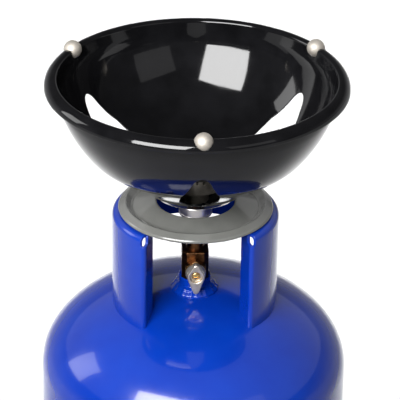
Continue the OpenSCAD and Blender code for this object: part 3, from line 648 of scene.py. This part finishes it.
def guard_ring():
    """The moulded ring: rounded lip, crest, groove with its thin line, rising face and hand hole.
    Four snap lugs hold it under the collar's flange."""
    lip = COLLAR_TOP + 0.8
    crest, groove = lip + 5.9, lip + 1.7
    hole = groove + 5.7
    ring_r, roll_r, crest_r, groove_r, hole_r = 62.2, 2.6, 56.2, 50.7, 31.0
    skirt_in, skirt_out = 57.0, 60.0
    wall, hem, line = 2.4, 4.6, 0.5
    arcs = [radians(6 * k) for k in range(11)]
    roll = [(ring_r - roll_r * (1 - cos(a)), lip + 0.8 + roll_r * sin(a)) for a in arcs]
    face = soften([roll[-1], (crest_r, crest + 0.25), (52.0, groove + 0.15),
                   (groove_r + line, groove), (groove_r, groove - line), (groove_r - line, groove),
                   (hole_r, hole + 0.2), (hole_r, hole - hem), (hole_r + wall, hole - hem),
                   (hole_r + wall, hole - 3.1), (groove_r, groove - wall), (52.7, groove - wall),
                   (crest_r - 0.5, crest - 2.8), (skirt_in, crest - 2.8), (skirt_in, COLLAR_TOP),
                   (skirt_out, COLLAR_TOP), (skirt_out, lip), (ring_r, lip)],
                  [0, 1.4, 0.8, 0.25, 0.3, 0.3, 1.6, 0.8, 0.8, 0.8, 1.0, 0.8, 0.8, 0.4, 0.3, 0.3,
                   0.3, 0.5])
    turned("guard_ring", roll + face[1:], 220, "cylinder", "grey_plastic")

    flange_low = COLLAR_TOP - SHEET
    lug_in, lug_out, hook_out = 50.85, 52.85, 54.85
    section = soften([(lug_in, groove - 1.2), (lug_in, flange_low - 2.15),
                      (lug_out, flange_low - 2.15), (hook_out, flange_low - 1.15),
                      (hook_out, flange_low - 0.15), (lug_out, flange_low - 0.15),
                      (lug_out, groove - 1.2)], 0.3)
    steps, lug_angle = 8, 12
    bm = bmesh.new()
    for middle in (-25, 25, 155, 205):
        rings = []
        for k in range(steps + 1):
            a = radians(middle - lug_angle / 2 + lug_angle * k / steps)
            rings.append([bm.verts.new(polar(r, a, z)) for r, z in section])
        stack(bm, rings)
        cap_ends(bm, rings)
    place("guard_ring_lugs", to_mesh(bm), "cylinder", "grey_plastic", [])


# ---------------- valve and tap

def prism(bm, outline, levels):
    """Stacks copies of a closed outline: levels are (height, inset)."""
    rings = []
    for z, inset in levels:
        ring = []
        for x, y in outline:
            r = hypot(x, y)
            s = (r - inset) / r
            ring.append(bm.verts.new((x * s * MM, y * s * MM, z * MM)))
        rings.append(ring)
    stack(bm, rings)
    return rings


def valve_body():
    """The forging: a bevelled square block with eased edges and an open outlet socket."""
    half, flat, socket_r = 10.85, 7.0, 7.45
    outline = soften([(flat, -half), (half, -flat), (half, flat), (flat, half),
                      (-flat, half), (-half, flat), (-half, -flat), (-flat, -half)], 0.7)
    bm = bmesh.new()
    rings = prism(bm, outline, [(BOSS_TOP + 0.02, 0.5), (BOSS_TOP + 0.2, 0.15),
                                (BOSS_TOP + 0.6, 0.0), (VALVE_TOP - 1.3, 0.0),
                                (VALVE_TOP - 0.8, 0.12), (VALVE_TOP - 0.3, 0.55), (VALVE_TOP, 1.3)])
    angles = [atan2(y, x) for x, y in outline]
    socket = [circle(bm, angles, socket_r + wider, VALVE_TOP - depth)
              for wider, depth in ((1.15, 0.0), (0.45, 0.2), (0.0, 0.9), (0.0, 8.0))]
    bridge(bm, rings[-1], socket[0])
    stack(bm, socket)
    bm.faces.new(socket[-1])
    bm.faces.new(rings[0][::-1])
    place("valve_body_skin", to_mesh(bm), "cylinder", "dark_brass", ["valve_body"])
    low_r, high_r, top = 8.7, 9.8, BOSS_TOP + 0.05
    shank = soften([(0, BOSS_LOW), (low_r, BOSS_LOW), (high_r, top), (0, top)], [0, 0.5, 0, 0])
    place("valve_shank", lathe(shank, 96), "cylinder", "dark_brass", [])


def gland_nut():
    """A chamfered hexagon with a turned collar, along the tap's axis."""
    low, face, bore = 10.85, 16.75, 3.05
    corner, chamfer = 9.5, 0.55
    apothem = corner * cos(radians(30))
    hexagon = [(corner * cos(radians(30 + 60 * k)), corner * sin(radians(30 + 60 * k)))
               for k in range(6)]
    sides = stepped(hexagon + hexagon[:1], corner / 8)
    bm = bmesh.new()

    def section(scale, z, sign):
        """The hexagon at a height. The chamfer's cone cuts its corners back where sign isn't 0."""
        return [bm.verts.new((x * scale * MM, y * scale * MM,
                              (z - sign * max(0.0, hypot(x, y) - apothem + 0.15) * chamfer) * MM))
                for x, y in sides]

    rings = [section(0.90, low, 0), section(1.0, low + 0.05, -1), section(1.0, face - 0.05, 1)]
    angles = [atan2(y, x) for x, y in sides]
    rings += [circle(bm, angles, r, z) for r, z in ((7.9, face), (3.9, face), (3.3, face - 0.5),
                                                    (bore, face - 1.0), (bore, low))]
    stack(bm, rings, closed=True)
    place("gland_nut_skin", on_tap_axis(bm), "cylinder", "brass", ["gland_nut"], 25,
          look="aged_brass")


def knob():
    """The cast tap: a round hub that swells into a pointed oval lever with a round recess."""
    count = 96
    half_w, up, down, tip = 7.15, 11.1, 15.6, 2.6

    def oval(a):
        """Radius of the lever's outline in direction a, with +Y up."""
        direction = Vector((cos(a), sin(a)))
        best = half_w
        for length in (up, -down):
            centre = Vector((0.0, copysign(abs(length) - tip, length)))
            along = centre.dot(direction)
            off = centre.length_squared - along * along
            if along > 0 and off < tip * tip:
                best = max(best, along + sqrt(tip * tip - off))
            tangent = acos((half_w - tip) / centre.length)
            base = atan2(centre.y, centre.x)
            for normal_a in (base - tangent, base + tangent):
                n = Vector((cos(normal_a), sin(normal_a)))
                reach = n.dot(direction)
                if reach > 1e-6:
                    hit = direction * (half_w / reach)
                    t = Vector((-n.y, n.x))
                    s, s_end = hit.dot(t), centre.dot(t)
                    if min(0.0, s_end) - 1e-9 <= s <= max(0.0, s_end) + 1e-9:
                        best = max(best, hit.length)
        return best

    hub_r, bore, recess, edge = 8.2, 3.1, 4.8, 1.3
    back, front, floor = 17.05, 26.05, 23.05
    swell_start, swell = back + 1.0, 3.2
    angles = [2 * pi * (k + 0.5) / count for k in range(count)]
    lever = [oval(a) for a in angles]
    bm = bmesh.new()

    def mixed(share, inset):
        """The hub's outline turned into the lever's by a share."""
        return lambda k: hub_r * (1 - share) + lever[k] * share - inset

    levels = [(bore, back), (hub_r - 1.0, back), (hub_r - 0.3, back + 0.3), (hub_r, swell_start)]
    for t in (0.15, 0.35, 0.6, 0.8, 0.93, 1.0):
        levels.append((mixed(t * t * (3 - 2 * t), 0.0), swell_start + swell * t))
    levels.append((mixed(1.0, 0.0), front - 3.0))
    for tilt in range(0, 91, 18):
        a = radians(tilt)
        levels.append((mixed(1.0, edge * (1 - cos(a))), front - edge + edge * sin(a)))
    levels += [(recess + 1.0, front - 0.05), (recess + 0.45, front - 0.18),
               (recess + 0.12, front - 0.5), (recess, front - 0.9), (recess, floor + 0.4),
               (recess - 0.12, floor + 0.12), (recess - 0.4, floor), (bore, floor)]
    stack(bm, [circle(bm, angles, radius, z) for radius, z in levels], closed=True)
    place("knob_skin", on_tap_axis(bm), "tap", "cast_alloy", ["knob"], 50)


def knob_screw():
    """A brass screw with a domed head, and the driver's slot pressed into its middle."""
    count, steps = 64, 20
    r, shank_r, low, head = 3.4, 1.5, 18.05, 23.05
    slot, slot_depth = 0.45, 0.6
    angles = [2 * pi * k / count for k in range(count)]
    inner = r - 1.2
    bm = bmesh.new()
    levels = [(shank_r, low), (shank_r, head), (r, head), (r, head + 0.7), (r - 0.15, head + 1.0),
              (r - 0.5, head + 1.25), (inner, head + 1.48)]
    rings = [[bm.verts.new((0, 0, low * MM))]] + [circle(bm, angles, *level) for level in levels]
    for k in range(1, steps):
        share = 1 - k / steps
        ring = circle(bm, angles, inner * share, head + 1.6 - 0.12 * share ** 2)
        for point in ring:
            if abs(point.co.y) < slot * MM:
                point.co.z -= slot_depth * MM
        rings.append(ring)
    stack(bm, rings + [[bm.verts.new((0, 0, (head + 1.6 - slot_depth) * MM))]])
    place("knob_screw_skin", on_tap_axis(bm), "tap", "brass", ["knob_screw"], 40)


# ---------------- cooker

def stem_parts():
    """The stem with its thread and air holes, the mixing tube and the chrome lock nut."""
    low, top = (corner.z for corner in span("burner_stem"))
    pitch, thread_r, root_r, bore, counterbore = 1.5, 7.4, 6.75, 5.0, 8
    outline = [(bore, low), (thread_r, low)]
    z = low
    while z + pitch < VALVE_TOP + 0.4:
        outline += [(thread_r, z + pitch * 0.15), (root_r, z + pitch * 0.5),
                    (thread_r, z + pitch * 0.85)]
        z += pitch
    outline += soften([(thread_r, VALVE_TOP + 0.6), (thread_r, top), (BORE, top),
                       (BORE, top - counterbore), (bore, top - counterbore)], [0, 0.6, 0.2, 0, 0])
    piece = place("burner_stem_skin", lathe(outline, 96), "cooker", "dark_brass",
                  ["burner_stem"], 30, False)

    hole_r, hole_z = 2, VALVE_TOP + 4.6
    drills = bmesh.new()
    for angle in (45, 135):
        turn = Matrix.Rotation(radians(angle), 4, "Z") @ Matrix.Rotation(pi / 2, 4, "X")
        bmesh.ops.create_cone(drills, cap_ends=True, segments=40, radius1=hole_r * MM,
                              radius2=hole_r * MM, depth=18 * MM,
                              matrix=Matrix.Translation((0, 0, hole_z * MM)) @ turn)
    cutter = add("air_holes", to_mesh(drills))
    cut = piece.modifiers.new("air_holes", "BOOLEAN")
    cut.operation, cut.solver, cut.use_self, cut.object = "DIFFERENCE", "EXACT", True, cutter
    bpy.context.view_layer.update()
    drilled = piece.evaluated_get(bpy.context.evaluated_depsgraph_get())
    piece.data = bpy.data.meshes.new_from_object(drilled)
    piece.modifiers.clear()
    bpy.data.objects.remove(cutter)

    low, top = (corner.z for corner in span("mixing_tube"))
    inner, outer = 5.2, 6.4
    outline = soften([(inner, low), (outer, low), (outer, top), (inner, top)], 0.35)
    turned("mixing_tube", outline, 96, "cooker", "plated_steel")

    nut_r, notch = 13.4, 0.35
    outline = soften([(BORE, NUT_LOW), (nut_r, NUT_LOW), (nut_r, NUT_LOW + 2.2),
                      (nut_r - notch, NUT_LOW + 2.5), (nut_r - notch, NUT_LOW + 2.9),
                      (nut_r, NUT_LOW + 3.2), (nut_r, NUT_TOP), (BORE, NUT_TOP)],
                     [0.4, 1.2, 0.3, 0.1, 0.1, 0.3, 1.2, 0.4])
    turned("lock_nut", outline, 120, "cooker", "bright_chrome")


def burner():
    """The burner's body with the teeth round its edge, and its cap."""
    low, top = BURNER_Z, BURNER_Z + 27.0
    cup = low + 11.5
    slots, wide, deep = 28, 1.6, 3.0
    r, t, hub = 23.5, 2.5, 10.5
    outline = soften([(BORE, low), (hub, low), (hub, cup - t), (r, cup + t), (r, top - deep),
                      (r - t, top - deep), (r - t, cup + 2 * t), (BORE, cup)],
                     [0.3, 0.8, 2.0, 2.0, 0, 0, 1.0, 0.4])
    turned("burner_body", outline, 112, "cooker", "cast_alloy")

    bm = bmesh.new()
    pitch, gap = 360 / slots, degrees(wide / r) / 2
    tooth_low, tooth_top = top - deep - 0.3, top - 0.05
    for k in range(slots):
        first, last = pitch * k + gap, pitch * (k + 1) - gap
        rings = []
        for a, ease in ((first, 0.25), (first + 0.6, 0), ((first + last) / 2, 0), (last - 0.6, 0),
                        (last, 0.25)):
            rings.append([bm.verts.new(polar(q, radians(a), z))
                          for q, z in ((r - t + ease, tooth_low), (r - ease, tooth_low),
                                       (r - ease, tooth_top), (r - t + ease, tooth_top))])
        stack(bm, rings)
        cap_ends(bm, rings)
    place("burner_teeth", to_mesh(bm), "cooker", "cast_alloy", [])

    spigot, cap_r = r - t - 0.05, 25
    outline = soften([(0, top), (spigot - 2, top), (spigot - 2, top - 5), (spigot, top - 5),
                      (spigot, top), (cap_r, top), (cap_r, top + 3), (22, top + 3.4),
                      (15, top + 4.05), (7, top + 4.4), (0, top + 4.5)],
                     [0, 0.2, 0.3, 0.3, 0.2, 0.5, 1.2, 6, 10, 10, 0])
    turned("burner_cap", outline, 112, "cooker", "burner_iron")


BOWL_ROUTE = [
    ("go", 9.5 - BORE), ("bend", 6, 23.5), ("go", 24), ("bend", 10, 42), ("go", 15),
    ("bend", 20, 34), ("go", 33.9), ("bend", 48, 51.5), ("bend", 118, 71.5), ("bend", 35, 90),
    ("go", 7.8), ("bend", 1.8, 0), ("bend", 6.7, -90)]
BALL_R, SEAT_GAP = 7.24, 0.05


def bowl():
    """The pressed bowl: one sheet on the CAD's route, with rounded vent, seat and lip edges.
    A third of it is meshed on its unrolled middle face and laid three times round the axis:
    u runs round the bowl from the middle of the third, and s runs out along the sheet."""
    half = BOWL_T / 2
    unroll = 100 * pi / 180  # millimetres of u for one degree

    def middle_face(bend_step, stride):
        """The walk at half thickness, and how far along it each state lies."""
        outer = walk((BORE, BOWL_Z, 0.0), BOWL_ROUTE, bend_step, stride)
        states = [(*(Vector(s[:2]) + left_of(s) * half), s[2]) for s in outer]
        lengths = [0.0]
        for p, q in zip(states, states[1:]):
            lengths.append(lengths[-1] + hypot(q[0] - p[0], q[1] - p[1]))
        return states, lengths

    rows = middle_face(9.0, 3.4)[1]
    fine, along = middle_face(0.5, 0.25)
    total = along[-1]

    def at(s):
        """The middle face's radius, height and heading at s."""
        s = min(max(s, 0.0), total)
        high = min(bisect_right(along, s), len(along) - 1)
        low = high - 1
        t = (s - along[low]) / max(1e-9, along[high] - along[low])
        return [fine[low][k] + (fine[high][k] - fine[low][k]) * t for k in range(3)]

    def spot(u, s):
        """Where a point of the unrolled sheet lies, its normal and the way that s runs there."""
        r, z, heading = at(s)
        a = radians(u / unroll)
        h = radians(heading)
        ahead = Vector((cos(h) * sin(a), -cos(h) * cos(a), sin(h)))
        up = Vector((-sin(h) * sin(a), sin(h) * cos(a), cos(h)))
        return Vector((r * sin(a), -r * cos(a), z)), up, ahead

    def halve(low, high, short_of, rounds):
        """The place between low and high up to which short_of is true."""
        for _ in range(rounds):
            mid = (low + high) / 2
            low, high = (mid, high) if short_of(mid) else (low, mid)
        return low

    def length_at(radius):
        """Where the sheet reaches this radius on its way out."""
        return halve(0.0, total * 0.8, lambda s: at(s)[0] < radius, 40)

    # the vent's edge, drawn as seen from above and taken to the unrolled sheet
    vent_x, vent_low, vent_bend, vent_top = 15.1 + half, 42.5 - half, 81, 109 + 2 * half
    vent = soften([(-vent_x, vent_low), (vent_x, vent_low), (vent_x, vent_bend), (0, vent_top),
                   (-vent_x, vent_bend)], [12.5, 12.5, 10, 12.5, 10], 6.0)
    vent_loop = [(degrees(atan2(x, y)) * unroll, length_at(hypot(x, y)))
                 for x, y in stepped(vent + vent[:1], 1.6)]

    # the seat's edge, where the ball's pocket meets the sheet
    ridge = max(range(len(fine)), key=lambda k: fine[k][1])
    ball_sink, lip_free, seat_points = 2.0, 1.2, 44
    centre = Vector((0, -(fine[ridge][0] + 0.6), fine[ridge][1] + half - ball_sink))
    seat_r = BALL_R + SEAT_GAP + half
    seat_mid = along[ridge]
    seat_loop = []
    for k in range(seat_points):
        x, y = cos(2 * pi * k / seat_points), sin(2 * pi * k / seat_points)

        def in_pocket(d):
            where = spot(d * x, seat_mid + d * y)[0]
            return (where - centre).length < seat_r and seat_mid + d * y < total - lip_free

        d = halve(0.0, 16.0, in_pocket, 30)
        seat_loop.append((d * x, seat_mid + d * y))

    loops = [vent_loop, seat_loop]
    columns = 60
    edge_u = 60 * unroll
    us = [-edge_u + 2 * edge_u * k / columns for k in range(columns + 1)]
    points, edges, loop_ids = [], [], []
    for row, s in enumerate(rows):
        for column, u in enumerate(us):
            rim = row in (0, len(rows) - 1) or column in (0, columns)
            p = (u, s)
            if rim or not any(inside(p, loop) or near(p, loop, 1.0, 1.0) for loop in loops):
                points.append(p)
    for loop in loops:
        ids = list(range(len(points), len(points) + len(loop)))
        points += loop
        edges += zip(ids, ids[1:] + ids[:1])
        loop_ids.append(ids)
    made, triangles, number_of = triangulate(points, edges, 0)

    def in_hole(tri):
        middle = (sum(made[i][0] for i in tri) / 3, sum(made[i][1] for i in tri) / 3)
        return any(inside(middle, loop) for loop in loops)

    kept = [tri for tri in triangles if not in_hole(tri)]

    sheet = Sheet()
    profile = [(half * cos(radians(t)), half * sin(radians(t)), t)
               for t in range(0, 181, 36)]
    for offset in (0, 120 * unroll, 240 * unroll):

        def key(u, s):
            """A point's name, the same from both thirds that share it."""
            return round((u + offset) / unroll * 1000) % 360000, round(s * 1000)

        sheet.skins(kept, lambda i: key(*made[i]),
                    lambda i: spot(made[i][0] + offset, made[i][1]), half)
        for ids, heart_s in zip(loop_ids, (length_at(68), seat_mid)):
            loop = [made[number_of[i]] for i in ids]
            spots = [spot(u + offset, s) for u, s in loop]
            heart = spot(offset, heart_s)[0]
            places = []
            for n, (where, up, _) in enumerate(spots):
                out = (spots[(n + 1) % len(spots)][0] - spots[n - 1][0]).cross(up).normalized()
                outward = out if out.dot(heart - where) > 0 else -out
                places.append((key(*loop[n]), where, up, outward))
            sheet.edge(places, profile)
        for s, sign in ((rows[0], -1), (rows[-1], 1)):
            spots = [spot(u + offset, s) for u in us]
            sheet.edge([(key(u, s), where, up, sign * ahead)
                        for u, (where, up, ahead) in zip(us, spots)], profile, closed=False)
    sheet.place("bowl_skin", "cooker", "black_enamel", "bowl")


def balls():
    """Plated steel balls in the seats of the bowl's rim."""
    steps = 48
    outline = [(BALL_R * sin(pi * k / steps), -BALL_R * cos(pi * k / steps))
               for k in range(steps + 1)]
    for node in ("pan_ball_front", "pan_ball_left", "pan_ball_right"):
        low, high = span(node)
        mesh = lathe(outline, 96)
        mesh.transform(Matrix.Translation((low + high) / 2 * MM))
        place(node + "_skin", mesh, "cooker", "nickel", [node], 0, False)


# ---------------- camera, floor and light

FIELD = 9.988  # the camera's angle of view, in degrees
CAMERA_TURN, CAMERA_ROLL = -2.8, 0.864
CAMERA_FROM, CAMERA_TO = (3.42, -1621.0, 1241.4), (3.42, 0.0, 385.0)


def aim(obj, target, roll=0.0):
    """Points a camera or a lamp at a target, with the image's right side kept level before roll."""
    ahead = (Vector(target) - obj.location).normalized()
    right = ahead.cross(Vector((0, 0, 1))).normalized()
    up = right.cross(ahead)
    a = radians(roll)
    side = right * cos(a) + up * sin(a)
    top = up * cos(a) - right * sin(a)
    obj.rotation_euler = Matrix((side, top, -ahead)).transposed().to_euler()


def camera():
    """The photo's camera. The object is turned a little in the photo, and here the camera is."""
    data = bpy.data.cameras.new("camera")
    data.angle = radians(FIELD)
    data.clip_end = 50
    eye = add("camera", data)
    swing = Matrix.Rotation(radians(CAMERA_TURN), 3, "Z")
    eye.location = swing @ Vector(CAMERA_FROM) * MM
    aim(eye, swing @ Vector(CAMERA_TO) * MM, CAMERA_ROLL)
    bpy.context.scene.camera = eye


def area_lamp(name, width, height, energy):
    data = bpy.data.lights.new(name, "AREA")
    data.shape = "RECTANGLE"
    data.size, data.size_y = width, height
    data.energy = energy
    return add(name, data)


def softbox(name, azimuth, elevation, distance, width, height, radiance):
    """A rectangular lamp, seen from the object's middle in a direction: azimuth 0 is the front,
    and positive is to the right."""
    middle = Vector((0, 0, 0.43))
    lamp = area_lamp(name, width, height, radiance * pi * width * height)
    a, e = radians(azimuth), radians(elevation)
    direction = Vector((sin(a) * cos(e), -cos(a) * cos(e), sin(e)))
    lamp.location = middle + direction * distance
    aim(lamp, middle)
    return lamp


def spare(lamp, obj):
    """Keeps a lamp's light off an object."""
    spared = bpy.data.collections.new("not_lit_by_" + lamp.name)
    spared.objects.link(obj)
    lamp.light_linking.receiver_collection = spared
    spared.collection_objects[0].light_linking.link_state = "EXCLUDE"


def studio():
    """The floor, four softboxes, the lamp that whitens the floor behind, and the backdrop."""
    mesh = bpy.data.meshes.new("floor")
    mesh.from_pydata([(-9, -9, 0), (9, -9, 0), (9, 9, 0), (-9, 9, 0)], [], [(0, 1, 2, 3)])
    floor = add("floor", mesh)
    mesh.materials.append(finish_material(
        "floor", ((0.88, 0.88, 0.88), (0.90, 0.90, 0.90)), 3, (0.85, 0.95), 5, [], {}))

    key = softbox("key", -29, 30, 1.7, 1.15, 0.95, 19.0)
    ceiling = softbox("ceiling", 0, 88, 2.0, 16.0, 16.0, 0.42)
    spare(key, floor)
    spare(ceiling, bpy.data.objects["bowl_skin"])
    softbox("side", -104, 20, 1.6, 0.55, 0.75, 3.6)
    softbox("fill", 38, 25, 1.9, 1.1, 0.7, 0.5)
    wash = area_lamp("floor_wash", 0.9, 1.25, 3.1)
    wash.data.spread = radians(40)
    wash.location = (0.04, 0.85, 0.75)

    # the backdrop is lighter low down and behind the object
    world = bpy.data.worlds.new("world")
    bpy.context.scene.world = world
    world.use_nodes = True
    tree = world.node_tree
    direction = shader_node(tree, "TexCoord")
    split = shader_node(tree, "SeparateXYZ")
    tree.links.new(direction.outputs["Generated"], split.inputs["Vector"])
    low = remap(tree, split.outputs["Z"], 1.0, 0.0, 0.0, 0.35)
    behind = remap(tree, split.outputs["Y"], 0.0, 1.0, -0.35, 0.45)
    both = shader_node(tree, "Math")
    both.operation = "MULTIPLY"
    tree.links.new(low, both.inputs[0])
    tree.links.new(behind, both.inputs[1])
    colour = mix_colour(tree, both.outputs["Value"], (0.06, 0.06, 0.063), (0.35, 0.35, 0.36))
    tree.links.new(colour, tree.nodes["Background"].inputs["Color"])


bpy.context.scene.view_settings.view_transform = "Standard"
for make in (camera, shells, foot_ring, neck_boss, collar, guard_ring, valve_body, gland_nut, knob,
             knob_screw, stem_parts, burner, bowl, balls, studio):
    make()

# the CAD nodes that stay: small turned parts, most of them hidden
KEPT = {"seal_rubber": ("outlet_seal", "gland_packing", "seat_pad"),
        "brass": ("spindle", "seat_plug", "jet"),
        "plated_steel": ("lower_washer", "upper_washer")}
for look, nodes in KEPT.items():
    for node in nodes:
        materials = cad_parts[node].data.materials
        materials.clear()
        materials.append(LOOKS[look])
